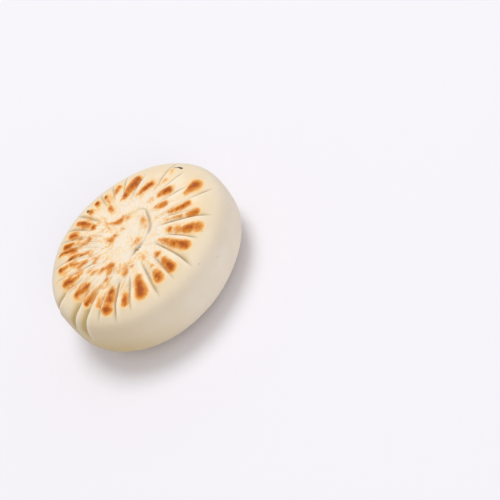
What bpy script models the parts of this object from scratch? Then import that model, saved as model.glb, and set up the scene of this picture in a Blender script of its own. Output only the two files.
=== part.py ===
"""Stuffed flatbread, pan browned, with pleats gathered on top. It lies on its flat underside.

Metres, +Z up, origin in the middle of the underside. Angles run anticlockwise from +X, seen from
above. A place on the skin is an angle and the way along the skin from the middle of the top.
"""
import math
from collections import namedtuple

import bmesh
import bpy
import numpy as np

MM = 0.001

# Driving dimensions of the turned form
RADIUS = 50 * MM
THICKNESS = 35 * MM
WAIST_HEIGHT = 15 * MM            # where the bread is widest
FACE_RADIUS = 32 * MM             # dead flat part of the top, which the pan pressed
BASE_RADIUS = 21 * MM             # dead flat part of the underside
SHOULDER_FULLNESS = 3.3           # 2 is an ellipse, more is squarer
BELLY_FULLNESS = 2.4

# Uneven outline, as shares of the radius, from shaping by hand
OVAL_SHARE = 0.029
OVAL_ANGLE = math.radians(45)
LOBE_SHARE = 0.0135
LOBE_ANGLE = math.radians(10)
SAG = 0.6 * MM                    # one side of the face lies lower than the other
SAG_ANGLE = math.radians(115)

# Mesh: how far along the skin each stretch of rings ends, and how many rings it has
SEGMENTS = 180
RING_STRETCHES = ((12 * MM, 5), (46 * MM, 15), (55 * MM, 3))
BELLY_RINGS = 9
PROFILE_STEPS = 400
WELD_DISTANCE = 0.001 * MM

# Relief of the gathered top, which sinks below the plane of the pan between the pleats
PLEAT_RISE = 1.0 * MM             # crown of a pleat over the floor beside it
PLEAT_NARROWING = 0.45            # a pleat's width at its inner end, as a share
PLEAT_FADE_IN = 6 * MM
PLEAT_FADE_OUT = 3.5 * MM
FLOOR_END = 42 * MM               # the pleats' floor rises back to the skin from here
FLOOR_RETURN = 50 * MM
TUCK_LIP = 0.9 * MM               # reach of the steep side of a tuck
TUCK_SLOPE = 2.6 * MM             # reach of its gentle side
TUCK_FADE = 4 * MM
FLAP_EDGE = 0.8 * MM              # last flap of dough, folded over the gather
FLAP_WIDTH = 7 * MM
FLAP_SHADOW = 0.7 * MM
FLAP_SHADOW_REACH = 1.6 * MM

# Pleats: angle at the outer end and further turn at the inner end in degrees, then where it
# starts and ends along the skin and its width at the outer end, in millimetres
Pleat = namedtuple("Pleat", "angle turn start end width")
PLEATS = (
    Pleat(4, -2, 31, 42, 6.0),
    Pleat(7, 11, 18, 25, 3.5),
    Pleat(18, 18, 21, 32, 4.5),
    Pleat(31, 2, 37, 42, 3.0),
    Pleat(46, 13, 26, 34, 4.0),
    Pleat(62, 14, 28, 40, 5.0),
    Pleat(78, 3, 36, 41, 3.0),
    Pleat(88, 2, 35, 40, 2.8),
    Pleat(97, 0, 36, 40, 3.4),
    Pleat(107, -2, 35, 41, 3.2),
    Pleat(120, -3, 27, 41, 4.6),
    Pleat(131, -4, 34, 41, 2.8),
    Pleat(140, -2, 34, 42, 3.0),
    Pleat(149, -3, 33, 42, 2.6),
    Pleat(156, -3, 31, 36, 2.4),
    Pleat(163, -2, 29, 42, 3.2),
    Pleat(178, 3, 29, 41, 4.8),
    Pleat(191, -1, 34, 41, 2.8),
    Pleat(200, -2, 27, 39, 4.4),
    Pleat(212, -2, 30, 41, 3.0),
    Pleat(222, -1, 30, 41, 3.0),
    Pleat(232, -1, 28, 44, 5.6),
    Pleat(245, -2, 29, 44, 4.4),
    Pleat(258, -2, 26, 44, 7.0),
    Pleat(273, 0, 24, 42, 5.5),
    Pleat(284, 1, 24, 42, 6.0),
    Pleat(304, 1, 20, 42, 6.0),
    Pleat(318, 4, 21, 43, 7.0),
    Pleat(335, 3, 20, 40, 3.4),
    Pleat(348, 7, 18, 36, 3.6),
)

# Tucks between pleats: as above, with the depth in millimetres instead of the width. The lip is
# the steep side: 1 on the anticlockwise side, -1 on the clockwise side
Tuck = namedtuple("Tuck", "angle turn start end depth lip")
TUCKS = (
    Tuck(9, 8, 24, 33, 0.6, -1),
    Tuck(24, 5, 30, 38, 0.7, -1),
    Tuck(36, 3, 30, 45, 0.9, -1),
    Tuck(57.5, 7, 28, 36.5, 0.8, -1),
    Tuck(72, 3, 30, 42, 0.6, -1),
    Tuck(83, 1, 33, 41, 0.5, -1),
    Tuck(93, 1, 33, 41, 0.5, -1),
    Tuck(113, -2, 28, 42, 0.7, -1),
    Tuck(126, -2, 29, 42, 0.6, -1),
    Tuck(136, -2, 30, 42, 0.5, -1),
    Tuck(145, -2, 28, 42, 0.5, 1),
    Tuck(158, -1, 27, 43, 0.6, 1),
    Tuck(172, 7, 24, 41, 0.8, 1),
    Tuck(187, 2, 33, 54, 1.5, 1),
    Tuck(205.5, 2.5, 33, 54, 1.8, 1),
    Tuck(214.3, 4, 31, 56, 1.7, 1),
    Tuck(225.5, 0, 35, 44, 0.8, 1),
    Tuck(237.3, -1, 28, 45, 1.0, 1),
    Tuck(247.8, 0, 28, 42, 0.8, 1),
    Tuck(266, -1, 23, 43, 0.8, -1),
    Tuck(279, 1, 26, 41, 0.7, -1),
    Tuck(292, 5, 20, 44, 1.0, -1),
    Tuck(310.5, 3, 25, 39, 1.1, -1),
    Tuck(330, 4, 19, 42, 0.9, -1),
    Tuck(339, 6, 23, 33, 0.7, -1),
    Tuck(352, 0, 31, 43, 0.9, -1),
)

# Edge of the last flap: angle in degrees, distance from the middle in millimetres, and how deep
# the line beside it is
FLAP_OUTLINE = ((-112, 13.6, 0.2), (-104, 12.5, 0.6), (-95, 11.2, 1.4), (-80, 10.8, 1.0),
                (-67, 10.4, 0.4), (-50, 10.3, 0.3), (-33, 10.9, 0.9), (-15, 11.3, 1.0),
                (-2, 11.3, 0.9), (18, 12.6, 1.0), (26, 13.7, 0.9), (34, 15.1, 0.7), (46, 15.9, 0.6),
                (57, 14.7, 0.5), (68, 14.5, 0.4), (88, 15.9, 0.3))
FLAP_END_FADE = 14                # degrees

DOUGH_COLOR = (0.80, 0.70, 0.52, 1.0)
DOUGH_ROUGHNESS = 0.62


def smooth_step(low, high, value):
    """0 below low, 1 above high, and an even S between them."""
    share = np.clip((value - low) / (high - low), 0.0, 1.0)
    return share * share * (3 - 2 * share)


def turn_between(angle, other):
    """The signed turn from other to angle, at most half a turn either way."""
    return (angle - other + math.pi) % (2 * math.pi) - math.pi


def outline_share(angle):
    """Radius of the uneven outline at an angle, as a share of RADIUS."""
    oval = OVAL_SHARE * np.cos(2 * (angle - OVAL_ANGLE))
    lobes = LOBE_SHARE * np.cos(3 * (angle - LOBE_ANGLE))
    return 1 + oval + lobes


class TurnedSkin:
    """Half section of the turned form, read by the way along the skin from the middle of the top."""

    def __init__(self):
        quarter = np.linspace(0, math.pi / 2, PROFILE_STEPS)
        rising, falling = np.sin(quarter), np.maximum(np.cos(quarter), 0.0)
        shoulder, belly = 2 / SHOULDER_FULLNESS, 2 / BELLY_FULLNESS
        shoulder_radius = FACE_RADIUS + (RADIUS - FACE_RADIUS) * rising ** shoulder
        shoulder_height = WAIST_HEIGHT + (THICKNESS - WAIST_HEIGHT) * falling ** shoulder
        belly_radius = BASE_RADIUS + (RADIUS - BASE_RADIUS) * falling ** belly
        belly_height = WAIST_HEIGHT * (1 - rising ** belly)
        self.radii = np.concatenate(([0.0], shoulder_radius, belly_radius[1:]))
        self.heights = np.concatenate(([THICKNESS], shoulder_height, belly_height[1:]))
        steps = np.hypot(np.diff(self.radii), np.diff(self.heights))
        self.ways = np.concatenate(([0.0], np.cumsum(steps)))
        self.length = self.ways[-1]

    def radius(self, along):
        return np.interp(along, self.ways, self.radii)

    def height(self, along):
        return np.interp(along, self.ways, self.heights)

    def normal(self, along):
        """Outward normal of the half section, as its radial and upward shares."""
        reach = 0.5 * MM
        run = self.radius(along + reach) - self.radius(along - reach)
        drop = self.height(along - reach) - self.height(along + reach)
        size = np.hypot(run, drop)
        return drop / size, run / size


def offset_across(row, along, radius, angle):
    """How far a place lies from a pleat's or tuck's line, positive on its anticlockwise side."""
    share = (row.end * MM - along) / ((row.end - row.start) * MM)
    middle = np.radians(row.angle + row.turn * share)
    return turn_between(angle, middle) * radius


def pleat_cover(along, radius, angle):
    """0 on the floor between the pleats, 1 on the crown of a pleat."""
    bare = np.ones_like(along)
    for pleat in PLEATS:
        start, end = pleat.start * MM, pleat.end * MM
        grown = PLEAT_NARROWING + (1 - PLEAT_NARROWING) * smooth_step(start, end, along)
        across = offset_across(pleat, along, radius, angle) / (pleat.width * MM / 2 * grown)
        rise = smooth_step(start - PLEAT_FADE_IN, start + PLEAT_FADE_IN, along)
        fall = 1 - smooth_step(end - PLEAT_FADE_OUT, end + PLEAT_FADE_OUT, along)
        bare *= 1 - rise * fall * np.exp(-across * across / 2)
    return 1 - bare


def tuck_depth(along, radius, angle):
    """Depth of the tucks, each steep under its lip and gentle on the other side."""
    depth = np.zeros_like(along)
    for tuck in TUCKS:
        start, end = tuck.start * MM, tuck.end * MM
        across = offset_across(tuck, along, radius, angle) * tuck.lip
        reach = np.where(across > 0, TUCK_LIP, TUCK_SLOPE)
        rise = smooth_step(start - TUCK_FADE, start + TUCK_FADE, along)
        fall = 1 - smooth_step(end - TUCK_FADE, end + TUCK_FADE, along)
        depth += tuck.depth * MM * rise * fall * np.exp(-(across / reach) ** 2)
    return depth


def flap_edge(angle):
    """Distance of the flap's edge from the middle at an angle, and how deep its line is there."""
    degrees = np.degrees(turn_between(angle, 0.0))
    corners, distances, depths = np.transpose(FLAP_OUTLINE)
    edge = np.interp(degrees, corners, distances) * MM
    beyond = np.maximum(corners[0] - degrees, degrees - corners[-1])
    return edge, np.interp(degrees, corners, depths) * (1 - smooth_step(0.0, FLAP_END_FADE, beyond))


def flap_cover(radius, angle):
    """1 on the raised border of the last flap, 0 on the floor round it."""
    edge, deep = flap_edge(angle)
    outside = smooth_step(edge - FLAP_EDGE, edge + FLAP_EDGE, radius)
    inside = smooth_step(edge - FLAP_WIDTH, edge - FLAP_WIDTH / 2, radius)
    return np.minimum(deep, 1) * inside * (1 - outside)


def flap_shadow(radius, angle):
    """Depth of the line that the flap's edge is tucked into."""
    edge, deep = flap_edge(angle)
    beside = (radius - edge - FLAP_EDGE) / FLAP_SHADOW_REACH
    return FLAP_SHADOW * deep * np.exp(-beside * beside)


def relief(along, radius, angle):
    """Height of the real skin over the turned form."""
    bare = (1 - pleat_cover(along, radius, angle)) * (1 - flap_cover(radius, angle))
    floor = PLEAT_RISE * (1 - smooth_step(FLOOR_END, FLOOR_RETURN, along))
    return -bare * floor - tuck_depth(along, radius, angle) - flap_shadow(radius, angle)


def skin_points(skin, along, angle):
    """Points of the finished skin."""
    radius, height = skin.radius(along), skin.height(along)
    radial, upward = skin.normal(along)
    out = relief(along, radius, angle)
    tilt = SAG * np.cos(angle - SAG_ANGLE) * radius / RADIUS * height / THICKNESS
    reach = radius * outline_share(angle) + radial * out
    return np.stack((reach * np.cos(angle), reach * np.sin(angle), height + upward * out + tilt), axis=-1)


def ring_ways(skin):
    """How far along the skin each ring of the mesh lies, the middle of the top first."""
    ways = [0.0]
    for end, count in RING_STRETCHES + ((skin.length, BELLY_RINGS),):
        start = ways[-1]
        ways += [start + (end - start) * step / count for step in range(1, count + 1)]
    return ways


def turned_mesh(skin):
    """The turned form, spun from its half section, with each point's way along the skin kept."""
    mesh = bmesh.new()
    way_layer = mesh.verts.layers.float.new("way")
    section = []
    for way in ring_ways(skin):
        point = mesh.verts.new((float(skin.radius(way)), 0.0, float(skin.height(way))))
        point[way_layer] = way
        section.append(point)
    section.append(mesh.verts.new((0.0, 0.0, 0.0)))
    section[-1][way_layer] = skin.length + BASE_RADIUS
    edges = [mesh.edges.new(pair) for pair in zip(section, section[1:])]
    bmesh.ops.spin(mesh, geom=section + edges, cent=(0, 0, 0), axis=(0, 0, 1), angle=2 * math.pi,
                   steps=SEGMENTS, use_merge=True)
    bmesh.ops.remove_doubles(mesh, verts=mesh.verts, dist=WELD_DISTANCE)
    bmesh.ops.recalc_face_normals(mesh, faces=mesh.faces)
    return mesh


def shape_by_hand(mesh, skin):
    """Move every point of the turned form, apart from the flat base, onto the real skin."""
    way_layer = mesh.verts.layers.float["way"]
    points = [vert for vert in mesh.verts if vert[way_layer] < skin.length + BASE_RADIUS / 2]
    along = np.array([vert[way_layer] for vert in points])
    angle = np.array([math.atan2(vert.co.y, vert.co.x) for vert in points])
    for vert, place in zip(points, skin_points(skin, along, angle)):
        vert.co = place


def centre_and_rest(mesh):
    """Bring the middle of the box over the origin, and the flat underside to height 0."""
    places = np.array([vert.co for vert in mesh.verts])
    low, high = places.min(axis=0), places.max(axis=0)
    middle = (low + high) / 2
    bmesh.ops.translate(mesh, verts=mesh.verts, vec=(-middle[0], -middle[1], -low[2]))


def dough_material():
    material = bpy.data.materials.new("baked dough")
    material.use_nodes = True
    shader = material.node_tree.nodes["Principled BSDF"]
    shader.inputs["Base Color"].default_value = DOUGH_COLOR
    shader.inputs["Roughness"].default_value = DOUGH_ROUGHNESS
    shader.inputs["Metallic"].default_value = 0.0
    return material


def add_bread():
    skin = TurnedSkin()
    mesh = turned_mesh(skin)
    shape_by_hand(mesh, skin)
    centre_and_rest(mesh)
    data = bpy.data.meshes.new("bread")
    mesh.to_mesh(data)
    mesh.free()
    data.materials.append(dough_material())
    data.shade_smooth()
    bread = bpy.data.objects.new("bread", data)
    bpy.context.scene.collection.objects.link(bread)


def main():
    for old in list(bpy.data.objects):
        bpy.data.objects.remove(old)
    add_bread()


main()
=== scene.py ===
"""Looks of a stuffed flatbread: pan-browned pleats, gathered dough and a smooth pale side.

Laid out as a Blender add-on and run as a script. Metres, +Z up, with the bread lying on its flat
underside. Angles run anticlockwise from +X, seen from above. A place on the skin is an angle and
the way along the skin from the middle of the top.
"""

import math
import random
from collections import namedtuple
from functools import partial

import bpy
import numpy as np
from mathutils import Color, Matrix, Vector


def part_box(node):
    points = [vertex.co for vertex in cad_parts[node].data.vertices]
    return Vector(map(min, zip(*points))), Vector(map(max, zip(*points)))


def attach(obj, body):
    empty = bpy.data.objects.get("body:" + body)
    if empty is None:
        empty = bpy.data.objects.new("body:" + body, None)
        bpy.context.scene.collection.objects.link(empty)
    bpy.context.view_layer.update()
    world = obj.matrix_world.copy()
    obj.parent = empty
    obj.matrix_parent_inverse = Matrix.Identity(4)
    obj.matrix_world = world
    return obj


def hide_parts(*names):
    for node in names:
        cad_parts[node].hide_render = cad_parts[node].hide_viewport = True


bl_info = {
    "name": "Stuffed Flatbread",
    "version": (1, 0, 0),
    "blender": (4, 5, 0),
    "location": "View3D > Sidebar > Flatbread",
    "description": "Shapes, bakes and lights a pan-fried stuffed flatbread",
    "category": "Add Mesh",
}

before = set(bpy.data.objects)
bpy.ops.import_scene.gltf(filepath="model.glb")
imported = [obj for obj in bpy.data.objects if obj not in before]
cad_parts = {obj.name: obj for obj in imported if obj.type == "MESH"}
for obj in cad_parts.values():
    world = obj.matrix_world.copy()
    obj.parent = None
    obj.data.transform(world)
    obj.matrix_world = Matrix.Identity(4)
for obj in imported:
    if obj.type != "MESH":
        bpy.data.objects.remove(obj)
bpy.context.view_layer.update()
BREAD_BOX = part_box("bread")

MM = 0.001

# The turned form, as in the solid
WAIST_HEIGHT = 15 * MM            # where the bread is widest
FACE_RADIUS = 32 * MM             # part of the top that the pan pressed flat
BASE_RADIUS = 21 * MM             # flat part of the underside
SHOULDER_FULLNESS = 3.3           # 2 is an ellipse, more is squarer
BELLY_FULLNESS = 2.4
PROFILE_STEPS = 400

# Uneven outline, as shares of the radius, from shaping by hand
OVAL_SHARE = 0.029
OVAL_ANGLE = math.radians(45)
LOBE_SHARE = 0.0135
LOBE_ANGLE = math.radians(10)
SAG = 0.6 * MM                    # one side of the face lies lower than the other
SAG_ANGLE = math.radians(115)

# Mesh: how far along the skin each stretch of rings ends, and how many rings it has
SEGMENTS = 160
RING_STRETCHES = ((12 * MM, 5), (46 * MM, 20), (55 * MM, 4))
BELLY_RINGS = 7
BASE_RINGS = 1
SMOOTHING_LEVELS = 2
START_SIZE = 1 * MM               # plane that is merged into the section's first point
WELD_DISTANCE = 0.001 * MM

# Relief of the gathered top, which sinks below the plane of the pan between the pleats
PLEAT_NARROWING = 0.45            # a pleat's width at its inner end, as a share
PLEAT_FADE_IN = 6 * MM
PLEAT_FADE_OUT = 3.5 * MM
FLOOR_END = 42 * MM               # the pleats' floor rises back to the skin from here
FLOOR_RETURN = 50 * MM
TUCK_LIP = 0.9 * MM               # reach of the steep side of a tuck
TUCK_SLOPE = 2.6 * MM             # reach of its gentle side
TUCK_FADE = 4 * MM
TUCK_LINE = 0.35 * MM             # reach of the sharp line at its bottom
TUCK_SHADE = 1.6 * MM             # reach of the painted shade beside a tuck whose depth is 1
LINE_DEPTH = 0.45 * MM
LIP_PLACE = 1.3 * MM              # raised lip, beside the steep side
LIP_REACH = 0.9 * MM
LIP_RISE = 0.42 * MM
FLAP_EDGE = 0.35 * MM             # last flap of dough, folded over the gather
FLAP_WIDTH = 7 * MM
FLAP_SHADOW_REACH = 0.5 * MM
FINE_CREASES = 64                 # hair-fine creases between the pleats, laid at random
CREASE_SEED = 11
CREASE_START = (17, 30)           # range of where they start along the skin, in millimetres
CREASE_RUN = (6, 13)              # range of their length
CREASE_TURN = (-4, 8)             # range of their turn at the inner end, in degrees
CREASE_SHARES = (0.4, 1.0)        # range of their depth, as a share of the one below
CREASE_DEPTH = 0.22 * MM
CREASE_WIDTH = 0.45 * MM
CREASE_FADE = 2 * MM
CREASED_SIDE = math.radians(187)  # the middle of where they lie, and how far round they reach
CREASED_REACH = math.radians(58)
DENT_SIZE, DENT_DETAIL = 24 * MM, 1           # of the cloud texture behind the soft dents
CRUMPLE_SIZE, CRUMPLE_DETAIL = 1.8 * MM, 2    # and of the one behind the crumpled gather

# Pleats: angle at the outer end and further turn at the inner end in degrees, then where it
# starts and ends along the skin and its width at the outer end, in millimetres
Pleat = namedtuple("Pleat", "angle turn start end width")
PLEATS = [Pleat(*row) for row in (
    (4, -2, 31, 42, 6.0),
    (7, 11, 18, 25, 3.5),
    (18, 18, 21, 32, 4.5),
    (31, 2, 37, 42, 3.0),
    (46, 13, 26, 34, 4.0),
    (62, 14, 28, 40, 5.0),
    (78, 3, 36, 41, 3.0),
    (88, 2, 35, 40, 2.8),
    (97, 0, 36, 40, 3.4),
    (107, -2, 35, 41, 3.2),
    (120, -3, 27, 41, 4.6),
    (131, -4, 34, 41, 2.8),
    (140, -2, 34, 42, 3.0),
    (149, -3, 33, 42, 2.6),
    (156, -3, 31, 36, 2.4),
    (163, -2, 29, 42, 3.2),
    (178, 3, 29, 41, 4.8),
    (191, -1, 34, 41, 2.8),
    (200, -2, 27, 39, 4.4),
    (212, -2, 30, 41, 3.0),
    (222, -1, 30, 41, 3.0),
    (232, -1, 28, 44, 5.6),
    (245, -2, 29, 44, 4.4),
    (258, -2, 26, 44, 7.0),
    (273, 0, 24, 42, 5.5),
    (284, 1, 24, 42, 6.0),
    (304, 1, 20, 42, 6.0),
    (318, 4, 21, 43, 7.0),
    (335, 3, 20, 40, 3.4),
    (348, 7, 18, 36, 3.6),
)]

# Tucks between pleats: as above, with the depth in millimetres instead of the width. The lip is
# the steep side: 1 on the anticlockwise side, -1 on the clockwise side
Tuck = namedtuple("Tuck", "angle turn start end depth lip")
TUCKS = [Tuck(*row) for row in (
    (9, 8, 24, 33, 0.6, -1),
    (24, 5, 30, 38, 0.7, -1),
    (36, 3, 30, 45, 0.9, -1),
    (57.5, 7, 28, 36.5, 0.8, -1),
    (72, 3, 30, 42, 0.6, -1),
    (83, 1, 33, 41, 0.5, -1),
    (93, 1, 33, 41, 0.5, -1),
    (113, -2, 28, 42, 0.7, -1),
    (126, -2, 29, 42, 0.6, -1),
    (136, -2, 30, 42, 0.5, -1),
    (145, -2, 28, 42, 0.5, 1),
    (158, -1, 27, 43, 0.6, 1),
    (172, 7, 24, 41, 0.8, 1),
    (187, 2, 33, 54, 1.5, 1),
    (205.5, 2.5, 33, 54, 1.8, 1),
    (214.3, 4, 31, 56, 1.7, 1),
    (225.5, 0, 35, 44, 0.8, 1),
    (237.3, -1, 28, 45, 1.0, 1),
    (247.8, 0, 28, 42, 0.8, 1),
    (266, -1, 23, 43, 0.8, -1),
    (279, 1, 26, 41, 0.7, -1),
    (292, 5, 20, 44, 1.0, -1),
    (310.5, 3, 25, 39, 1.1, -1),
    (330, 4, 19, 42, 0.9, -1),
    (339, 6, 23, 33, 0.7, -1),
    (352, 0, 31, 43, 0.9, -1),
)]

# Edge of the last flap: angle in degrees, distance from the middle in millimetres, and how deep
# the line beside it is
FLAP_OUTLINE = ((-112, 13.6, 0.2), (-104, 12.5, 0.6), (-95, 11.2, 1.4), (-80, 10.8, 1.0),
                (-67, 10.4, 0.4), (-50, 10.3, 0.3), (-33, 10.9, 0.9), (-15, 11.3, 1.0),
                (-2, 11.3, 0.9), (18, 12.6, 1.0), (26, 13.7, 0.9), (34, 15.1, 0.7), (46, 15.9, 0.6),
                (57, 14.7, 0.5), (68, 14.5, 0.4), (88, 15.9, 0.3))
FLAP_END_FADE = 14                # degrees

# Browned marks, left where the dough touched the pan: the route of each from its inner end
# outwards, as angles in degrees and ways along the skin in millimetres, its width in millimetres
# at both ends, and how dark it is
Mark = namedtuple("Mark", "route inner outer dark")
MARKS = [Mark(*row) for row in (
    (((0.5, 32.5), (1, 37), (1.5, 41)), 2.8, 6.2, 0.84),
    (((355, 13.5), (354, 15.5)), 1.8, 2.0, 0.20),
    (((349.5, 22.5), (347.5, 28.5), (346.5, 33.5)), 1.3, 2.8, 0.88),
    (((339, 20.5), (337, 25), (335, 29)), 1.9, 2.4, 0.52),
    (((334, 31.5), (334, 38)), 2.8, 3.5, 0.82),
    (((319.5, 22.5), (319, 24)), 3.2, 3.4, 0.76),
    (((319, 25.5), (317.5, 31)), 3.0, 4.4, 0.44),
    (((317.5, 32), (318.5, 35), (319, 37)), 4.2, 5.4, 1.00),
    (((318.5, 37), (319, 40.5)), 6.0, 6.2, 0.80),
    (((303, 19.5), (302.5, 27)), 3.2, 4.0, 0.50),
    (((302.5, 26), (302.5, 31)), 4.0, 4.4, 0.62),
    (((302.5, 30), (302.5, 36), (302.5, 39.5)), 4.2, 4.8, 1.00),
    (((303, 32.5), (302.5, 37.5)), 2.8, 3.2, 1.26),
    (((285, 23.5), (285, 25.5)), 3.4, 3.8, 0.80),
    (((284, 31), (283, 36), (282.5, 40)), 4.0, 5.0, 0.98),
    (((273, 27.5), (272.5, 29)), 2.4, 2.6, 0.58),
    (((271.5, 32.5), (272, 36), (272.5, 39.5)), 3.4, 4.8, 0.88),
    (((257.5, 28.5), (257, 32.5), (257, 37), (257, 41)), 3.6, 5.6, 1.00),
    (((244.5, 35.5), (244.5, 38.5), (244.5, 41.5)), 2.4, 3.1, 0.90),
    (((250.5, 18.5), (250.5, 20)), 2.8, 2.8, 0.46),
    (((243, 20.5), (242, 23.5)), 3.2, 3.4, 0.40),
    (((271, 17), (271, 20.5)), 2.4, 2.6, 0.36),
    (((231, 29.5), (231.5, 33.5)), 2.6, 3.0, 0.86),
    (((232, 33), (232, 38.5)), 3.2, 4.0, 0.66),
    (((232, 39), (231.5, 42.5)), 4.4, 5.0, 1.08),
    (((223.5, 35.5), (223.5, 40)), 2.0, 2.4, 0.60),
    (((221.5, 29), (221.5, 30.5)), 1.8, 1.8, 0.48),
    (((213, 30), (213.5, 35)), 1.7, 2.1, 0.58),
    (((213.5, 35), (213, 37.5), (212.5, 40)), 1.9, 2.2, 0.96),
    (((202, 29.5), (202, 33.5)), 1.6, 2.2, 0.66),
    (((202, 33), (201, 36), (199.5, 38.5)), 2.2, 2.8, 0.98),
    (((191, 34), (190, 37.5), (189, 39.5)), 1.1, 1.1, 0.45),
    (((187, 35.5), (186.5, 38.5)), 1.0, 1.0, 0.35),
    (((183.5, 31), (183, 35.5), (181, 39.5)), 1.6, 3.4, 1.04),
    (((171, 42.5), (172, 44.5)), 2.0, 2.2, 0.30),
    (((164.5, 31.5), (164.5, 34)), 1.8, 2.0, 0.84),
    (((164.5, 34), (164.5, 38)), 2.0, 2.0, 0.55),
    (((164.5, 38), (164.5, 40.5)), 2.0, 2.4, 0.90),
    (((148, 32.5), (148.5, 37), (149, 42)), 1.3, 1.5, 1.04),
    (((155, 31), (155.5, 33), (157.5, 35)), 1.4, 1.5, 0.96),
    (((139.5, 34), (141, 37), (142.5, 40)), 1.5, 2.4, 1.04),
    (((136, 28), (136, 33)), 2.2, 2.4, 0.40),
    (((140, 28.5), (137.5, 24.5)), 2.6, 2.8, 0.52),
    (((130.5, 34.5), (132.5, 38.5)), 1.4, 2.0, 0.88),
    (((122, 25), (120.5, 27)), 2.6, 2.8, 0.88),
    (((118, 29.5), (119, 33), (120.5, 38)), 2.1, 2.8, 0.98),
    (((106.5, 34.5), (107.5, 37)), 2.4, 2.7, 0.76),
    (((98, 36.5), (98.5, 38.5)), 2.8, 2.8, 0.94),
    (((91.5, 24.5), (92.5, 28.5)), 2.8, 3.0, 0.54),
    (((92, 29), (91, 34)), 2.4, 2.4, 0.36),
    (((90.5, 34.5), (90, 37.5)), 2.2, 2.4, 0.88),
    (((82, 34), (79.5, 36.5), (77, 38.5)), 2.0, 2.4, 0.82),
    (((76, 27.5), (72, 30)), 3.3, 3.6, 0.94),
    (((70.5, 30.5), (66, 33), (60, 37.5)), 4.0, 4.6, 0.86),
    (((57, 25.5), (51.5, 28.5), (45, 31.5)), 2.0, 2.6, 0.86),
    (((36, 30.5), (32, 34)), 2.2, 2.4, 0.34),
    (((32.5, 38.5), (32.5, 40)), 2.4, 2.6, 0.46),
    (((36, 19), (33, 22)), 3.2, 3.4, 0.36),
    (((28.5, 24), (24, 26.5), (19.5, 29.5)), 2.8, 3.6, 0.86),
    (((18, 18), (11.5, 20), (7.5, 23)), 2.8, 3.2, 0.66),
    (((109, 20), (104, 16.5)), 2.2, 2.4, 0.36),
    (((104, 16), (95, 14.5), (86, 13.5)), 3.2, 4.0, 0.64),
    (((80, 13), (71, 12.5)), 3.4, 3.4, 0.44),
    (((131, 9), (131, 10)), 1.4, 1.6, 0.60),
    (((133, 9.5), (142, 10.5), (151, 11.5)), 4.2, 4.6, 0.54),
    (((150, 10.5), (150, 11.5)), 1.2, 1.2, 0.60),
    (((103, 7.5), (99, 8)), 2.8, 2.8, 0.36),
    (((27, 10), (4, 9)), 3.6, 3.2, 0.50),
    (((4, 9), (335, 9.5)), 2.4, 2.2, 0.44),
    (((261, 8.5), (275, 8), (295, 7.5)), 3.8, 4.4, 0.48),
    (((290, 4), (255, 3.5)), 2.6, 2.8, 0.28),
    (((158.5, 23), (157, 28.5)), 2.8, 3.0, 0.54),
    (((170, 26), (172, 31)), 1.8, 2.0, 0.42),
    (((201, 21), (208, 19), (216, 17)), 3.2, 3.8, 0.48),
    (((196, 22), (194, 26)), 2.2, 2.4, 0.38),
    (((182, 20), (182, 22)), 2.2, 2.2, 0.36),
    (((219, 23.5), (219, 26)), 1.8, 1.8, 0.36),
    (((34, 11), (8, 8.5), (338, 8.5)), 5.6, 5.2, 0.25),
    (((258, 8.5), (276, 7), (300, 6)), 6.0, 5.6, 0.24),
    (((110, 18), (95, 14.5), (70, 12)), 6.0, 5.6, 0.24),
    (((128, 9), (142, 10.5), (156, 12.5)), 6.4, 6.4, 0.22),
    (((262, 16), (238, 20), (212, 21)), 5.0, 6.0, 0.24),
)]
MARK_SPREAD = 0.95                # how wide a mark is, as a share of its width in the table
MARK_EDGE = 0.5 * MM              # a mark fades over this much either side of its edge, and
MARK_EDGE_SHARE = 0.75            # over this share of its half width more
MARK_START = 0.70                 # how browned its inner end is, as a share
MARK_PEAK = 0.65                  # how far along its route it is fully browned, as a share
ROUTE_CUT = 0.5                   # how far a route is drawn in at its ends: this share of a mark's
ROUTE_CUT_MOST = 0.4              # half width, but at most this share of its first or last run
HALO_REACH = 3.0 * MM             # pale golden dough round a mark
HALO_SHARE = 0.34
CROWN_TOASTING = 0.13             # what every pleat's crown has
DEEPEST = 0.98                    # browning of a mark whose darkness is 1
TOASTING = 0.25                   # browning of the golden patches between the marks
TOASTED_SIDE = math.radians(165)  # where they are stronger

# Dark specks, mostly scorched: angle in degrees, way along the skin and radius in millimetres, and
# how dark
Speck = namedtuple("Speck", "angle along radius dark")
SPECKS = [Speck(*row) for row in (
    (108, 38.2, 0.9, 1.0),
    (90, 36.5, 0.6, 0.6),
    (131, 9.5, 0.6, 0.5),
    (150, 11, 0.5, 0.4),
    # two in the deep crevice beside the flap's edge
    (268, 12.1, 0.5, 0.8),
    (276, 11.8, 0.4, 0.7),
    (350, 22, 0.6, 0.4),
    (347, 30, 0.5, 0.4),
    (22.5, 38, 0.35, 0.6),
    (315.5, 43, 0.35, 0.6),
    (306, 56, 0.6, 0.2),
    (295, 49.5, 0.5, 0.2),
)]
SPECK_FADE = (0.4, 1.3)           # where a speck's edge starts and ends, as shares of its radius

# A dark crescent at the edge of the face, as a mark
CRESCENT = Mark(((33.0, 42.0), (30.0, 43.0), (26.8, 42.8)), 0.9, 1.4, 1.0)
CRESCENT_FADE = 0.3 * MM

STREAK_RADIUS = 16 * MM           # where a streak is as wide as the noise's grain
STREAK_SHARE = 0.50               # of a place's distance outwards that the noise follows

# Bands along the skin, each from where a colour starts to where it is full
FLOUR_FADE = (18 * MM, 42 * MM)           # flour and crumpling fade out
FACE_FADE = (40 * MM, 54 * MM)            # warmer dough of the face fades out
TOAST_START = (4 * MM, 22 * MM)           # golden patches between the marks
TOAST_END = (34 * MM, 46 * MM)
GATHER_FADE = (12 * MM, 26 * MM)          # pale golden clumps of the gather fade out
RIM_START = (34 * MM, 42 * MM)            # painted shade along the rim
RIM_END = (50 * MM, 60 * MM)
TAN_START = (40 * MM, 68 * MM)            # tan and painted shade of the darker side
TAN_END = (66 * MM, 78 * MM)

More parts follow.
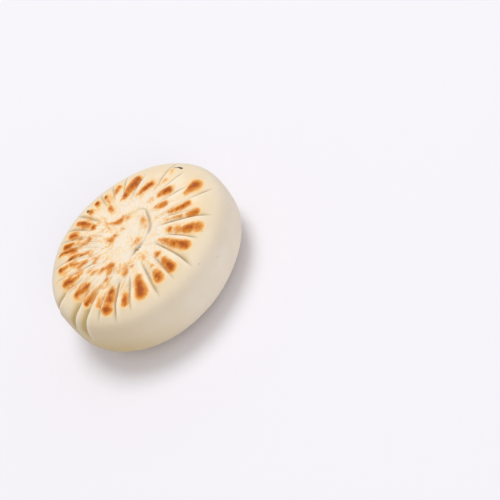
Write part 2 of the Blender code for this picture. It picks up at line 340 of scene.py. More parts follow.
TOAST_LEAST = 0.7                 # golden patches away from the toasted side, as a share, and
TOAST_MORE = 1.1                  # how much more there are on it
MOTTLING = 0.16                   # browning of the gather's clumps
TANNED_SIDE = math.radians(222)   # where the side's tan and painted shade are darkest
TAN_SHARE = 0.85
TAN_LOSS = 0.45                   # less tan and painted shade below the waist
TAN_POWER = 3                     # more is a narrower dark side
# painted shade along the rim
RIM_PAINTED_SHADE = 0.18
TUCK_PAINTED_SHADE = 0.70                   # painted shade beside the tucks
BASE_BROWNING = 0.55              # even browning of the underside
BASE_BLEND = (-5 * MM, 2 * MM)    # where it starts, from the edge of the flat base
DENT_BLEND = (-8 * MM, -2 * MM)   # where the dents end, so that the base stays flat
FLAP_CREASE_SHADE = 0.9                 # painted shade in the line beside the flap, and in a fine crease
FINE_CREASE_SHADE = 0.4

# Noise that makes the specks: its scale, and where a speck starts and is full
GRAIN_DETAIL = 3.0
GRAIN_ROUGHNESS = 0.6
GRAIN_MIDDLE = 0.5
Grain = namedtuple("Grain", "scale low high")
COARSE_GRAIN = Grain(420.0, 0.35, 0.65)
FINE_GRAIN = Grain(1500.0, 0.40, 0.62)
DUST_GRAIN = Grain(900.0, 0.43, 0.58)
BROAD_GRAIN = Grain(45.0, 0.35, 0.65)
PATCH_GRAIN = Grain(240.0, 0.40, 0.64)
CLUMP_GRAIN = Grain(120.0, 0.36, 0.68)
FISSURE_GRAIN = Grain(900.0, 0.50, 0.70)
WRINKLE_GRAIN = Grain(140.0, 0.0, 1.0)

WANDER = 0.8                      # how far the coarse noise moves a mark's edge
WANDER_HEAT = (0.20, 0.75)        # between these the noise grows to its full effect
BLISTER = 0.3                     # how far the fine noise darkens and lightens a mark
BLISTER_HEAT = (0.04, 0.45)       # the same, for the wandering edges, blisters and fissures
FISSURE = 0.16                    # darkening of the fissures along a mark
BROAD_TAN = 0.12                  # slow change of colour over the whole skin
TOAST_HEAT = (0.03, 0.26)         # pale dough turns into the browned colours
FLOURED_HEAT = (0.15, 0.60)       # flour goes as the dough browns
FLOUR_SHARE = 0.75                # how far flour, lips' painted highlight and creases' painted shade cover
LIP_HIGHLIGHT_SHARE = 0.32
CREASE_SHADE_SHARE = 0.62
WRINKLE_WIDTH = 0.014             # painted shade of a wrinkle: how near its noise's middle, and how dark
WRINKLE_SHADE_SHARE = 0.20
# painted highlight on the tucks' lips
LIP_HIGHLIGHT_COLOUR = (0.98, 0.95, 0.89)
# painted shade in the creases and wrinkles
CREASE_SHADE_COLOUR = (0.55, 0.45, 0.32)
SCORCH_COLOUR = (0.16, 0.10, 0.05)
STOPS = (0.20, 0.42, 0.62, 0.84, 1.0)     # golden, orange, russet, brown, scorched
PALE_ROUGHNESS = 0.64
BROWNED_SMOOTHING = -0.16         # what browning adds to the roughness
PITTED_HEAT = (0.20, 0.70)        # blisters' relief grows between these
FLOUR_GRAIN = 0.35                # relief of the flour, beside the blisters' of 1
BUMP_STRENGTH = 0.5
BUMP_HEIGHT = 0.25 * MM
GLOSS = 0.2
LIGHT_SOAKING = 0.10              # share of the light that soaks into the dough
SOAKING_COLOURS = (1.0, 0.55, 0.25)
SOAKING_DEPTH = 1.5 * MM

# Stage
FLOOR_SIZE = 6.0
FLOOR_ROUGHNESS = 0.9
CAMERA_LENS, CAMERA_SENSOR = 81, 36       # millimetres
KEY_DIRECTION = Vector((0.15, 0.30, 0.94))
SIDE_DIRECTION = Vector((0.10, -0.90, 0.42))
LIGHT_DISTANCE = 3.0
LIGHT_SIZE = 1.6
AIM = Vector((-0.6, 0.35, 17.5)) * MM     # middle of the turned form, which the camera is set by
AIM_RIGHT = 49.8 * MM                     # the camera looks past it, on the picture's right
AIM_ABOVE = 3.1 * MM


def length_setting(name, description, default):
    """A length that a user may change."""
    return bpy.props.FloatProperty(name=name, description=description, default=default,
                                   unit="LENGTH", subtype="DISTANCE")


def colour_setting(name, description, default):
    """A colour that a user may change, as a screen shows it."""
    return bpy.props.FloatVectorProperty(name=name, description=description, default=default,
                                         size=3, min=0, max=1, subtype="COLOR_GAMMA")


class BreadShape(bpy.types.PropertyGroup):
    """Sizes of the bread"""

    radius: length_setting(
        "Radius", "Half of the bread's width at its waist", 50 * MM)
    thickness: length_setting(
        "Thickness", "Height of the bread as it lies", 35 * MM)
    pleat_rise: length_setting(
        "Pleat Rise", "Height of a pleat's crown over the dough beside it", 1.0 * MM)
    tuck_depth: length_setting(
        "Tuck Depth", "Depth of a tuck that the table gives as one millimetre", 1.0 * MM)
    flap_depth: length_setting(
        "Flap Depth", "Depth of the line that the last flap is tucked into", 0.7 * MM)
    unevenness: length_setting(
        "Unevenness", "Height of the soft dents that shaping by hand leaves", 0.5 * MM)
    crumple: length_setting(
        "Crumple", "Height of the fine wrinkles where the dough is gathered", 0.22 * MM)


class BreadColours(bpy.types.PropertyGroup):
    """Colours of the bread"""

    dough: colour_setting(
        "Dough", "Pale cooked dough of the side", (0.92, 0.88, 0.812))
    face: colour_setting(
        "Face", "Warmer dough of the top that lay on the pan", (0.96, 0.89, 0.77))
    # tan of the dough, also the painted shade low on the side, along the rim and beside the tucks
    tan: colour_setting(
        "Tan", "Dough low on the side and in the tucks", (0.765, 0.67, 0.46))
    flour: colour_setting(
        "Flour", "Dusty flour over the gather", (0.945, 0.91, 0.855))
    golden: colour_setting(
        "Golden", "Light toasting round a browned mark", (0.965, 0.83, 0.60))
    orange: colour_setting(
        "Orange", "Edge of a browned mark", (0.92, 0.67, 0.37))
    russet: colour_setting(
        "Russet", "Between a browned mark's edge and its core", (0.85, 0.54, 0.22))
    brown: colour_setting(
        "Brown", "Core of a browned mark", (0.77, 0.42, 0.065))
    scorched: colour_setting(
        "Scorched", "Darkest blisters of a browned mark", (0.66, 0.32, 0.045))


class StageSettings(bpy.types.PropertyGroup):
    """Floor, light and camera"""

    floor: colour_setting(
        "Floor", "Colour of the plain floor and of the space behind it", (0.943, 0.936, 0.951))
    key: bpy.props.FloatProperty(
        name="Key Light", description="Brightness that the large soft light adds to a white card",
        default=0.455, min=0)
    side: bpy.props.FloatProperty(
        name="Side Light", description="Brightness that the low soft light adds to a white card",
        default=0.18, min=0)
    fill: bpy.props.FloatProperty(
        name="Fill Light", description="Brightness that the space all round adds",
        default=0.675, min=0)
    elevation: bpy.props.FloatProperty(
        name="Elevation", description="Angle of the camera above the face's plane",
        default=math.radians(41), unit="ROTATION", subtype="ANGLE")
    roll: bpy.props.FloatProperty(
        name="Roll", description="Turn of the camera about its own axis",
        default=math.radians(-36.9), unit="ROTATION", subtype="ANGLE")
    distance: length_setting(
        "Distance", "From the bread's middle to the camera", 547 * MM)


def smooth_step(low, high, value):
    """0 below low, 1 above high, and an even S between them."""
    share = np.clip((value - low) / (high - low), 0.0, 1.0)
    return share * share * (3 - 2 * share)


def turn_between(angle, other):
    """The signed turn from other to angle, at most half a turn either way."""
    return (angle - other + math.pi) % (2 * math.pi) - math.pi


def outline_share(angle):
    """Radius of the uneven outline at an angle, as a share of the radius."""
    oval = OVAL_SHARE * np.cos(2 * (angle - OVAL_ANGLE))
    lobes = LOBE_SHARE * np.cos(3 * (angle - LOBE_ANGLE))
    return 1 + oval + lobes


class TurnedSkin:
    """Half section of the turned form, read by the way along the skin from the top's middle."""

    def __init__(self, shape):
        quarter = np.linspace(0, math.pi / 2, PROFILE_STEPS)
        rising, falling = np.sin(quarter), np.maximum(np.cos(quarter), 0.0)
        shoulder, belly = 2 / SHOULDER_FULLNESS, 2 / BELLY_FULLNESS
        shoulder_radius = FACE_RADIUS + (shape.radius - FACE_RADIUS) * rising ** shoulder
        shoulder_height = WAIST_HEIGHT + (shape.thickness - WAIST_HEIGHT) * falling ** shoulder
        belly_radius = BASE_RADIUS + (shape.radius - BASE_RADIUS) * falling ** belly
        belly_height = WAIST_HEIGHT * (1 - rising ** belly)
        face = np.linspace(0, FACE_RADIUS, PROFILE_STEPS, endpoint=False)
        base = np.linspace(BASE_RADIUS, 0, PROFILE_STEPS + 1)[1:]
        self.radii = np.concatenate((face, shoulder_radius, belly_radius[1:], base))
        self.heights = np.concatenate((np.full_like(face, shape.thickness), shoulder_height,
                                       belly_height[1:], np.zeros_like(base)))
        steps = np.hypot(np.diff(self.radii), np.diff(self.heights))
        self.ways = np.concatenate(([0.0], np.cumsum(steps)))
        self.base_start = self.ways[-1 - PROFILE_STEPS]
        self.length = self.ways[-1]

    def ring_ways(self):
        """How far along the skin each ring of the mesh lies, the middle of the top first."""
        ways = [0.0]
        ends = RING_STRETCHES + ((self.base_start, BELLY_RINGS), (self.length, BASE_RINGS))
        for end, count in ends:
            start = ways[-1]
            ways += [start + (end - start) * step / count for step in range(1, count + 1)]
        return ways

    def point(self, way):
        """A point of the half section, in the plane of X and Z."""
        radius = np.interp(way, self.ways, self.radii)
        return Vector((radius, 0, np.interp(way, self.ways, self.heights)))

    def way_of(self, radius, height):
        """The way along the skin of places on it, from how they lie round the waist's middle."""
        lean = np.arctan2(self.heights - WAIST_HEIGHT, self.radii)
        return np.interp(-np.arctan2(height - WAIST_HEIGHT, radius), -lean, self.ways)


def offset_across(row, along, radius, angle):
    """How far a place lies from a pleat's or tuck's line, positive on its anticlockwise side."""
    share = (row.end * MM - along) / ((row.end - row.start) * MM)
    middle = np.radians(row.angle + row.turn * share)
    return turn_between(angle, middle) * radius


def pleat_cover(along, radius, angle):
    """0 on the floor between the pleats, 1 on the crown of a pleat."""
    bare = np.ones_like(along)
    for pleat in PLEATS:
        start, end = pleat.start * MM, pleat.end * MM
        grown = PLEAT_NARROWING + (1 - PLEAT_NARROWING) * smooth_step(start, end, along)
        across = offset_across(pleat, along, radius, angle) / (pleat.width * MM / 2 * grown)
        rise = smooth_step(start - PLEAT_FADE_IN, start + PLEAT_FADE_IN, along)
        fall = 1 - smooth_step(end - PLEAT_FADE_OUT, end + PLEAT_FADE_OUT, along)
        bare *= 1 - rise * fall * np.exp(-across * across / 2)
    return 1 - bare


def tuck_fields(along, radius, angle):
    """Depth of the tucks in their table's unit, their bottom lines, raised lips and the painted
    shade beside them.
    """
    depth, line, lip, shade = (np.zeros_like(along) for field in range(4))
    for tuck in TUCKS:
        start, end = tuck.start * MM, tuck.end * MM
        across = offset_across(tuck, along, radius, angle) * tuck.lip
        reach = np.where(across > 0, TUCK_LIP, TUCK_SLOPE)
        dark_reach = TUCK_SHADE * tuck.depth
        rise = smooth_step(start - TUCK_FADE, start + TUCK_FADE, along)
        fall = 1 - smooth_step(end - TUCK_FADE, end + TUCK_FADE, along)
        size = tuck.depth * rise * fall
        depth += size * np.exp(-(across / reach) ** 2)
        line += size * np.exp(-(across / TUCK_LINE) ** 2)
        lip += size * np.exp(-((across - LIP_PLACE) / LIP_REACH) ** 2)
        # painted shade beside the tuck: narrow on its lip's side, wide on its gentle side
        shade += size * np.exp(-(across / np.where(across > 0, TUCK_LINE, dark_reach)) ** 2)
    return depth, line, lip, shade


def fine_creases(along, radius, angle):
    """Hair-fine creases that run roughly outwards from the gather."""
    chance = random.Random(CREASE_SEED)
    depth = np.zeros_like(along)
    for number in range(FINE_CREASES):
        start = chance.uniform(*CREASE_START) * MM
        end = start + chance.uniform(*CREASE_RUN) * MM
        turn = math.radians(chance.uniform(*CREASE_TURN))
        spread = 2 * (number + chance.random()) / FINE_CREASES - 1
        middle = CREASED_SIDE + CREASED_REACH * spread
        middle = middle + turn * (end - along) / (end - start)
        across = turn_between(angle, middle) * radius / CREASE_WIDTH
        fade = smooth_step(start - CREASE_FADE, start + CREASE_FADE, along)
        fade = fade * (1 - smooth_step(end - CREASE_FADE, end + CREASE_FADE, along))
        share = chance.uniform(*CREASE_SHARES)
        depth = np.maximum(depth, share * fade * np.exp(-across * across))
    return depth


def flap_edge(angle):
    """Distance of the flap's edge from the middle at an angle, and how deep its line is there."""
    degrees = np.degrees(turn_between(angle, 0.0))
    corners, distances, depths = np.transpose(FLAP_OUTLINE)
    edge = np.interp(degrees, corners, distances) * MM
    beyond = np.maximum(corners[0] - degrees, degrees - corners[-1])
    return edge, np.interp(degrees, corners, depths) * (1 - smooth_step(0.0, FLAP_END_FADE, beyond))


def flap_cover(radius, angle):
    """1 on the raised border of the last flap, 0 on the floor round it."""
    edge, deep = flap_edge(angle)
    outside = smooth_step(edge - FLAP_EDGE, edge + FLAP_EDGE, radius)
    inside = smooth_step(edge - FLAP_WIDTH, edge - FLAP_WIDTH / 2, radius)
    return np.minimum(deep, 1) * inside * (1 - outside)


def flap_shadow(radius, angle):
    """Depth of the line beside the flap's edge, in the unit of the flap's table."""
    edge, deep = flap_edge(angle)
    beside = (radius - edge - FLAP_EDGE) / FLAP_SHADOW_REACH
    return deep * np.exp(-beside * beside)


def unrolled(along, angle):
    """Places on the skin laid out flat round the middle of the top."""
    return np.stack((along * np.cos(angle), along * np.sin(angle)), axis=-1)


def pulled_in(corners, ends):
    """A route with its ends drawn in, to make room for the mark's round ends."""
    corners = corners.copy()
    for end, beside, reach in ((0, 1, ends[0]), (-1, -2, ends[1])):
        run = corners[beside] - corners[end]
        corners[end] += run * min(ROUTE_CUT_MOST, ROUTE_CUT * reach / np.linalg.norm(run))
    return corners


def route_distance(mark, places):
    """How far places lie from a mark's route, and how far along the route the nearest point is."""
    turns, ways = np.transpose(mark.route)
    corners = unrolled(ways * MM, np.radians(turns))
    corners = pulled_in(corners, (mark.inner * MM / 2, mark.outer * MM / 2))
    nearest, share = np.full(len(places), np.inf), np.zeros(len(places))
    for number, (start, end) in enumerate(zip(corners, corners[1:])):
        run = end - start
        part = np.clip((places - start) @ run / (run @ run), 0.0, 1.0)
        distance = np.linalg.norm(places - start - part[:, None] * run, axis=1)
        share = np.where(distance < nearest, (number + part) / (len(corners) - 1), share)
        nearest = np.minimum(distance, nearest)
    return nearest, share


def half_width(mark, share):
    """Half of a mark's width at a share of its route."""
    return (mark.inner + (mark.outer - mark.inner) * share) * MM / 2


def browning(along, angle):
    """How browned each place is, from 0 for pale dough to 1 for the darkest marks."""
    places = unrolled(along, angle)
    heat = np.zeros(len(places))
    for mark in MARKS:
        distance, share = route_distance(mark, places)
        half = half_width(mark, share) * MARK_SPREAD
        edge = MARK_EDGE + MARK_EDGE_SHARE * half
        core = 1 - smooth_step(half - edge, half + edge, distance)
        core *= MARK_START + (1 - MARK_START) * smooth_step(0.0, MARK_PEAK, share)
        halo = HALO_SHARE * (1 - smooth_step(0.0, half + HALO_REACH, distance))
        heat = np.maximum(heat, DEEPEST * mark.dark * np.maximum(core, halo))
    return heat


def scorching(along, angle):
    """How dark the specks and the crescent are at each place."""
    places = unrolled(along, angle)
    dark = np.zeros(len(places))
    for speck in SPECKS:
        middle = unrolled(speck.along * MM, math.radians(speck.angle))
        distance = np.linalg.norm(places - middle, axis=1) / (speck.radius * MM)
        dark = np.maximum(dark, speck.dark * (1 - smooth_step(*SPECK_FADE, distance)))
    distance, share = route_distance(CRESCENT, places)
    half = half_width(CRESCENT, share)
    painted = 1 - smooth_step(half - CRESCENT_FADE, half + CRESCENT_FADE, distance)
    return np.maximum(dark, CRESCENT.dark * painted)


def linear(color, alpha=1.0):
    """A screen colour as the light that a shader works with."""
    return (*Color(color).from_srgb_to_scene_linear(), alpha)


def add_modifier(piece, kind, **settings):
    """Put a modifier on the active piece and apply it."""
    modifier = piece.modifiers.new(kind.title(), kind)
    for name, value in settings.items():
        setattr(modifier, name, value)
    bpy.ops.object.modifier_apply(modifier=modifier.name)


def read_places(mesh):
    """Where the mesh's points are, one row each."""
    places = np.empty(len(mesh.vertices) * 3, dtype=np.float32)
    mesh.vertices.foreach_get("co", places)
    return places.reshape(-1, 3).astype(float)


def write_places(mesh, places):
    """Move the mesh's points to new places."""
    mesh.vertices.foreach_set("co", places.astype(np.float32).ravel())
    mesh.update()


def keep_values(mesh, name, values):
    """Store one number a point, for the materials to read."""
    attribute = mesh.attributes.new(name=name, type="FLOAT", domain="POINT")
    attribute.data.foreach_set("value", np.asarray(values, dtype=np.float32))


def displace(piece, name, weights, strength, **settings):
    """Push the surface out along its normals, as far as the weights say."""
    group = piece.vertex_groups.new(name=name)
    for index in np.flatnonzero(weights > 0):
        group.add([int(index)], float(weights[index]), "REPLACE")
    add_modifier(piece, "DISPLACE", vertex_group=name, strength=strength, **settings)
    piece.vertex_groups.remove(piece.vertex_groups[name])


def clouds(name, size, detail):
    """A cloud texture of one size, to displace with."""
    texture = bpy.data.textures.new(name, type="CLOUDS")
    texture.noise_scale = size
    texture.noise_depth = detail
    return texture


def spin_blank(skin):
    """The plain turned form: its half section drawn out point by point, then spun and smoothed."""
    bpy.ops.object.select_all(action="DESELECT")
    bpy.ops.mesh.primitive_plane_add(size=START_SIZE, location=(0, 0, 0))
    bread = bpy.context.object
    bread.name = bread.data.name = "flatbread"
    bpy.ops.object.mode_set(mode="EDIT")
    bpy.ops.mesh.select_all(action="SELECT")
    bpy.ops.mesh.merge(type="CENTER")
    section = [skin.point(way) for way in reversed(skin.ring_ways())]
    for before, after in zip(section, section[1:]):
        bpy.ops.mesh.extrude_vertices_move(TRANSFORM_OT_translate={"value": after - before})
    bpy.ops.mesh.select_all(action="SELECT")
    bpy.ops.mesh.spin(steps=SEGMENTS, angle=2 * math.pi, center=(0, 0, 0), axis=(0, 0, 1))
    bpy.ops.mesh.select_all(action="SELECT")
    bpy.ops.mesh.remove_doubles(threshold=WELD_DISTANCE)
    bpy.ops.mesh.normals_make_consistent(inside=False)
    bpy.ops.object.mode_set(mode="OBJECT")
    add_modifier(bread, "SUBSURF", levels=SMOOTHING_LEVELS, render_levels=SMOOTHING_LEVELS)
    return bread


def shape_by_hand(bread, angle):
    """The uneven outline, and the face a little lower on one side."""
    places = read_places(bread.data)
    radius = np.hypot(places[:, 0], places[:, 1])
    size = places.max(axis=0)
    tilt = SAG * np.cos(angle - SAG_ANGLE) * radius / size[0] * places[:, 2] / size[2]
    places[:, :2] *= outline_share(angle)[:, None]
    places[:, 2] += tilt
    write_places(bread.data, places)


def fit_to_frame(bread):
    """Bring the finished form exactly to the box of the solid that it stands for."""
    places = read_places(bread.data)
    low, high = places.min(axis=0), places.max(axis=0)
    target_low, target_high = np.array(BREAD_BOX[0]), np.array(BREAD_BOX[1])
    scale = (target_high - target_low) / (high - low)
    write_places(bread.data, target_low + (places - low) * scale)


def add_node(tree, kind, inputs=None, **settings):
    """A node with its settings and inputs, which are values or the outputs of other nodes."""
    node = tree.nodes.new(kind)
    for name, value in settings.items():
        setattr(node, name, value)
    for key, value in (inputs or {}).items():
        if isinstance(value, bpy.types.NodeSocket):
            tree.links.new(value, node.inputs[key])
        else:
            node.inputs[key].default_value = value
    return node


def calculate(tree, operation, value, *others):
    """A value changed by each of the others in turn, with a math node for each."""
    for other in others:
        inputs = {0: value, 1: other}
        value = add_node(tree, "ShaderNodeMath", inputs, operation=operation).outputs[0]
    return value


def combine(tree, operation, *vectors):
    """A vector worked out from others."""
    inputs = dict(enumerate(vectors))
    return add_node(tree, "ShaderNodeVectorMath", inputs, operation=operation).outputs[0]


def blend_colors(tree, factor, under, over):
    """The colour over another, as far as the factor says."""
    node = add_node(tree, "ShaderNodeMix", data_type="RGBA")
    shown = {socket.name: socket for socket in node.inputs if socket.enabled}
    for name, value in (("Factor", factor), ("A", under), ("B", over)):
        if isinstance(value, bpy.types.NodeSocket):
            tree.links.new(value, shown[name])
        else:
            shown[name].default_value = value
    return next(socket for socket in node.outputs if socket.enabled)


def stretch(tree, value, low, high):
    """0 below low and 1 above high, with an even S between them."""
    node = add_node(tree, "ShaderNodeMapRange", {"Value": value, "From Min": low, "From Max": high},
                    interpolation_type="SMOOTHSTEP")
    return node.outputs["Result"]


def speckle_group():
    """Node group: irregular specks of one size, as a mask and as a height."""
    name = "Speckle"
    if name in bpy.data.node_groups:
        return bpy.data.node_groups[name]
    group = bpy.data.node_groups.new(name, "ShaderNodeTree")
    sockets = group.interface
    sockets.new_socket(name="Vector", in_out="INPUT", socket_type="NodeSocketVector")
    for side, names in (("INPUT", ("Scale", "Low", "High")), ("OUTPUT", ("Mask", "Height"))):
        for socket_name in names:
            sockets.new_socket(name=socket_name, in_out=side, socket_type="NodeSocketFloat")
    given = group.nodes.new("NodeGroupInput").outputs
    grain = add_node(group, "ShaderNodeTexNoise",
                     {"Vector": given["Vector"], "Scale": given["Scale"],
                      "Detail": GRAIN_DETAIL, "Roughness": GRAIN_ROUGHNESS})
    mask = stretch(group, grain.outputs["Fac"], given["Low"], given["High"])
    result = group.nodes.new("NodeGroupOutput").inputs
    group.links.new(mask, result["Mask"])
    group.links.new(grain.outputs["Fac"], result["Height"])
    return group


def add_speckle(tree, vector, grain):
    """Specks of one kind of noise, read at the places that the vector gives."""
    inputs = {"Vector": vector, "Scale": grain.scale, "Low": grain.low, "High": grain.high}
    return add_node(tree, "ShaderNodeGroup", inputs, node_tree=speckle_group()).outputs


def new_material(name):
    """A plain node material and its Principled shader."""
    material = bpy.data.materials.new(name)
    material.use_nodes = True
    return material, material.node_tree.nodes["Principled BSDF"]


def painted(tree, name):
    """What the mesh stores under a name."""
    return add_node(tree, "ShaderNodeAttribute", attribute_name=name).outputs["Fac"]


def streaked(tree, place):
    """Places drawn together along the pleats, so that noise read there runs in streaks outwards."""
    flat = combine(tree, "MULTIPLY", place, (1, 1, 0))
    around = combine(tree, "MULTIPLY", combine(tree, "NORMALIZE", flat), (STREAK_RADIUS,) * 3)
    along = combine(tree, "MULTIPLY", flat, (STREAK_SHARE,) * 3)
    return combine(tree, "ADD", around, along)


def browned_dough(colours):
    """Pale dough that turns golden, orange and brown where the pan heated it."""
    material, shader = new_material("browned dough")
    tree = material.node_tree
    times, plus, minus = (partial(calculate, tree, operation)
                          for operation in ("MULTIPLY", "ADD", "SUBTRACT"))
    place = add_node(tree, "ShaderNodeTexCoord").outputs["Object"]
    heat = painted(tree, "browning")
    coarse = add_speckle(tree, place, COARSE_GRAIN)
    fine = add_speckle(tree, place, FINE_GRAIN)
    dust = add_speckle(tree, place, DUST_GRAIN)
    broad = add_speckle(tree, place, BROAD_GRAIN)
    clumps = add_speckle(tree, place, CLUMP_GRAIN)
    wrinkles = add_speckle(tree, place, WRINKLE_GRAIN)
    streaks = streaked(tree, place)
    patches = add_speckle(tree, streaks, PATCH_GRAIN)
    fissures = add_speckle(tree, streaks, FISSURE_GRAIN)

    # Uneven browning: the marks' edges wander, and small blisters are darker than the rest
    wander = minus(coarse["Height"], GRAIN_MIDDLE)
    wander = times(wander, WANDER, stretch(tree, heat, *WANDER_HEAT))
    blister = times(minus(fine["Height"], GRAIN_MIDDLE), BLISTER)
    change = plus(wander, blister, times(fissures["Mask"], FISSURE))
    change = times(change, stretch(tree, heat, *BLISTER_HEAT))
    toast = times(patches["Mask"], painted(tree, "toasting"))
    mottle = times(clumps["Mask"], painted(tree, "mottling"))
    heat = plus(heat, toast, mottle, change)
    heat = add_node(tree, "ShaderNodeClamp", {"Value": heat}).outputs[0]

    side = blend_colors(tree, painted(tree, "face"), linear(colours.dough), linear(colours.face))
    side = blend_colors(tree, times(broad["Mask"], BROAD_TAN), side, linear(colours.tan))
    # Tan with painted shade low on the side, and painted shade along the rim and beside the tucks
    side = blend_colors(tree, painted(tree, "shade_and_tan"), side, linear(colours.tan))
    ramp = add_node(tree, "ShaderNodeValToRGB", {"Fac": heat})
    browned = (colours.golden, colours.orange, colours.russet, colours.brown, colours.scorched)
    elements = ramp.color_ramp.elements
    while len(elements) < len(STOPS):
        elements.new(1.0)
    for element, position, shade in zip(elements, STOPS, browned):
        element.position = position
        element.color = linear(shade)
    color = blend_colors(tree, stretch(tree, heat, *TOAST_HEAT), side, ramp.outputs["Color"])

    # Flour dusts the gather and a painted highlight lies on the tucks' lips, both less where the
    # dough is browned
    bare = minus(1.0, stretch(tree, heat, *FLOURED_HEAT))
    floured = painted(tree, "flour")
    flour = times(floured, dust["Mask"], bare, FLOUR_SHARE)
    color = blend_colors(tree, flour, color, linear(colours.flour))
    pale = times(painted(tree, "lip"), LIP_HIGHLIGHT_SHARE, bare)
    color = blend_colors(tree, pale, color, linear(LIP_HIGHLIGHT_COLOUR))

    # Painted shade in the creases and wrinkles
    crease_shade = times(painted(tree, "crease_shade"), CREASE_SHADE_SHARE)
    off = minus(wrinkles["Height"], GRAIN_MIDDLE)
    off = add_node(tree, "ShaderNodeMath", {0: off}, operation="ABSOLUTE").outputs[0]
    wrinkle_shade = minus(1.0, stretch(tree, off, 0.0, WRINKLE_WIDTH))
    wrinkle_shade = times(wrinkle_shade, floured, WRINKLE_SHADE_SHARE)
    crease_shade = calculate(tree, "MAXIMUM", crease_shade, wrinkle_shade)
    color = blend_colors(tree, crease_shade, color, linear(CREASE_SHADE_COLOUR))
    color = blend_colors(tree, painted(tree, "scorching"), color, linear(SCORCH_COLOUR))
    tree.links.new(color, shader.inputs["Base Color"])

    rough = plus(times(heat, BROWNED_SMOOTHING), PALE_ROUGHNESS)
    tree.links.new(rough, shader.inputs["Roughness"])

    # Fine relief: floury grain all over, and pitted blisters on the browned marks
    pits = times(fine["Height"], stretch(tree, heat, *PITTED_HEAT))
    relief = plus(pits, times(dust["Height"], FLOUR_GRAIN))
    bump = add_node(tree, "ShaderNodeBump",
                    {"Strength": BUMP_STRENGTH, "Distance": BUMP_HEIGHT, "Height": relief})
    tree.links.new(bump.outputs["Normal"], shader.inputs["Normal"])
    shader.inputs["Subsurface Weight"].default_value = LIGHT_SOAKING
    shader.inputs["Subsurface Radius"].default_value = SOAKING_COLOURS
    shader.inputs["Subsurface Scale"].default_value = SOAKING_DEPTH
    shader.inputs["Specular IOR Level"].default_value = GLOSS
    return material


class FLATBREAD_OT_bread(bpy.types.Operator):
    """Model the bread: spin its blank, shape it by hand, gather the pleats and bake it"""

    bl_idname = "flatbread.bread"
    bl_label = "Make the Bread"

    def execute(self, context):
        shape = context.scene.flatbread_shape
        skin = TurnedSkin(shape)
        bread = spin_blank(skin)
        places = read_places(bread.data)
        radius = np.hypot(places[:, 0], places[:, 1])
        angle = np.arctan2(places[:, 1], places[:, 0])
        along = skin.way_of(radius, places[:, 2])
        from_base = along - skin.base_start
        shape_by_hand(bread, angle)
        dented = 1 - smooth_step(*DENT_BLEND, from_base)
        displace(bread, "dents", dented, shape.unevenness, mid_level=0.5,
                 texture_coords="LOCAL", texture=clouds("dents", DENT_SIZE, DENT_DETAIL))

        # The gathered top. The flap goes by the distance from the middle, so it is kept to the face
        cover = pleat_cover(along, radius, angle)
        on_face = along < FACE_RADIUS
        flap = flap_cover(radius, angle) * on_face
        shadow = flap_shadow(radius, angle) * on_face
        depth, line, lip, shade = tuck_fields(along, radius, angle)
        fine = fine_creases(along, radius, angle)
        floor = (1 - cover) * (1 - flap) * (1 - smooth_step(FLOOR_END, FLOOR_RETURN, along))
        displace(bread, "floor", floor, -shape.pleat_rise, mid_level=0)
        deepest = depth.max()
        displace(bread, "tucks", depth / deepest, -shape.tuck_depth * deepest, mid_level=0)
        displace(bread, "lines", np.minimum(line, 1), -LINE_DEPTH, mid_level=0)
        displace(bread, "lips", np.minimum(lip, 1), LIP_RISE, mid_level=0)
        displace(bread, "creases", fine, -CREASE_DEPTH, mid_level=0)
        displace(bread, "flap", shadow, -shape.flap_depth, mid_level=0)
        flour = 1 - smooth_step(*FLOUR_FADE, along)
        displace(bread, "crumple", flour, shape.crumple, mid_level=0.5, texture_coords="LOCAL",
                 texture=clouds("crumple", CRUMPLE_SIZE, CRUMPLE_DETAIL))
        fit_to_frame(bread)

        # What the pan and the flour did to each place, and where shade and highlights are painted,
        # for the material to read
        heat = np.maximum(browning(along, angle), CROWN_TOASTING * cover)
        heat = np.maximum(heat, BASE_BROWNING * smooth_step(*BASE_BLEND, from_base))
        toasted = smooth_step(*TOAST_START, along) * (1 - smooth_step(*TOAST_END, along))
        toasted *= TOAST_LEAST + TOAST_MORE * np.maximum(np.cos(angle - TOASTED_SIDE), 0)
        # Painted shade along the rim, and tan with painted shade low on the darker side
        rim = smooth_step(*RIM_START, along) * (1 - smooth_step(*RIM_END, along))
        low = smooth_step(*TAN_START, along) * (1 - TAN_LOSS * smooth_step(*TAN_END, along))
        low *= np.maximum(np.cos(angle - TANNED_SIDE), 0) ** TAN_POWER
        layers = {
            "browning": heat,
            "toasting": TOASTING * toasted,
            "mottling": MOTTLING * (1 - smooth_step(*GATHER_FADE, along)),
            # painted shade along the rim and beside the tucks, with tan and painted shade low on
            # the side
            "shade_and_tan": TAN_SHARE * low + RIM_PAINTED_SHADE * rim + TUCK_PAINTED_SHADE * shade,
            "face": 1 - smooth_step(*FACE_FADE, along),
            "flour": flour,
            # painted highlight along the tucks' raised lips
            "lip": np.sqrt(lip),
            # painted shade in the tucks' bottom lines, beside the flap's edge and in the fine
            # creases
            "crease_shade": np.sqrt(line) + shadow * FLAP_CREASE_SHADE + fine * FINE_CREASE_SHADE,
            "scorching": scorching(along, angle),
        }
        for name, values in layers.items():
            keep_values(bread.data, name, values)
        bread.data.materials.clear()
        bread.data.materials.append(browned_dough(context.scene.flatbread_colours))
        bread.data.shade_smooth()
        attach(bread, "root")
        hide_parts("bread")
        return {"FINISHED"}


def hang_light(name, direction, brightness):
    """A large soft light that adds a brightness to a white card facing it at the origin."""
    light = bpy.data.lights.new(name, "AREA")
    light.shape = "DISK"
    light.size = LIGHT_SIZE
    light.energy = brightness * (math.pi * LIGHT_DISTANCE) ** 2
    lamp = bpy.data.objects.new(name, light)
    lamp.location = direction.normalized() * LIGHT_DISTANCE
    lamp.rotation_euler = direction.to_track_quat("Z", "Y").to_euler()
    bpy.context.scene.collection.objects.link(lamp)


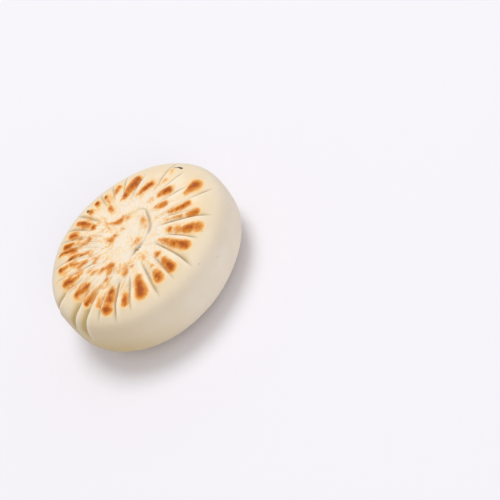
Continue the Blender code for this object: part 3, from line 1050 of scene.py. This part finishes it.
class FLATBREAD_OT_stage(bpy.types.Operator):
    """Lay the plain floor, hang the soft lights and set up the camera"""

    bl_idname = "flatbread.stage"
    bl_label = "Set the Stage"

    def execute(self, context):
        settings = context.scene.flatbread_stage
        bpy.ops.object.select_all(action="DESELECT")
        bpy.ops.mesh.primitive_plane_add(size=FLOOR_SIZE, location=(0, 0, 0))
        floor = context.object
        floor.name = floor.data.name = "floor"
        material, shader = new_material("studio floor")
        shader.inputs["Base Color"].default_value = linear(settings.floor)
        shader.inputs["Roughness"].default_value = FLOOR_ROUGHNESS
        floor.data.materials.append(material)

        world = bpy.data.worlds.new("studio")
        world.use_nodes = True
        background = world.node_tree.nodes["Background"]
        background.inputs["Color"].default_value = linear(settings.floor)
        background.inputs["Strength"].default_value = settings.fill
        context.scene.world = world

        hang_light("key light", KEY_DIRECTION, settings.key)
        hang_light("side light", SIDE_DIRECTION, settings.side)

        rise, roll = settings.elevation, settings.roll
        back = Vector((0, -math.cos(rise), math.sin(rise)))
        level, upright = Vector((1, 0, 0)), Vector((0, math.sin(rise), math.cos(rise)))
        right = level * math.cos(roll) + upright * math.sin(roll)
        top = upright * math.cos(roll) - level * math.sin(roll)
        data = bpy.data.cameras.new("camera")
        data.lens, data.sensor_width = CAMERA_LENS, CAMERA_SENSOR
        camera = bpy.data.objects.new("camera", data)
        place = AIM + right * AIM_RIGHT + top * AIM_ABOVE + back * settings.distance
        turn = Matrix((right, top, back)).transposed().to_4x4()
        camera.matrix_world = Matrix.Translation(place) @ turn
        context.scene.collection.objects.link(camera)
        context.scene.camera = camera
        context.scene.view_settings.view_transform = "Standard"
        return {"FINISHED"}


class FLATBREAD_PT_panel(bpy.types.Panel):
    """Steps and settings of the flatbread"""

    bl_idname = "FLATBREAD_PT_panel"
    bl_label = "Stuffed Flatbread"
    bl_space_type = "VIEW_3D"
    bl_region_type = "UI"
    bl_category = "Flatbread"

    def draw(self, context):
        scene = context.scene
        for step in STEPS:
            self.layout.operator(step.bl_idname)
        for settings in (scene.flatbread_shape, scene.flatbread_colours, scene.flatbread_stage):
            box = self.layout.box()
            for name in settings.__annotations__:
                box.prop(settings, name)


STEPS = (FLATBREAD_OT_bread, FLATBREAD_OT_stage)
CLASSES = (BreadShape, BreadColours, StageSettings, *STEPS, FLATBREAD_PT_panel)


def register():
    for item in CLASSES:
        bpy.utils.register_class(item)
    bpy.types.Scene.flatbread_shape = bpy.props.PointerProperty(type=BreadShape)
    bpy.types.Scene.flatbread_colours = bpy.props.PointerProperty(type=BreadColours)
    bpy.types.Scene.flatbread_stage = bpy.props.PointerProperty(type=StageSettings)


def unregister():
    del bpy.types.Scene.flatbread_stage
    del bpy.types.Scene.flatbread_colours
    del bpy.types.Scene.flatbread_shape
    for item in reversed(CLASSES):
        bpy.utils.unregister_class(item)


def main():
    register()
    bpy.ops.flatbread.bread()
    bpy.ops.flatbread.stage()


if __name__ == "__main__":
    main()
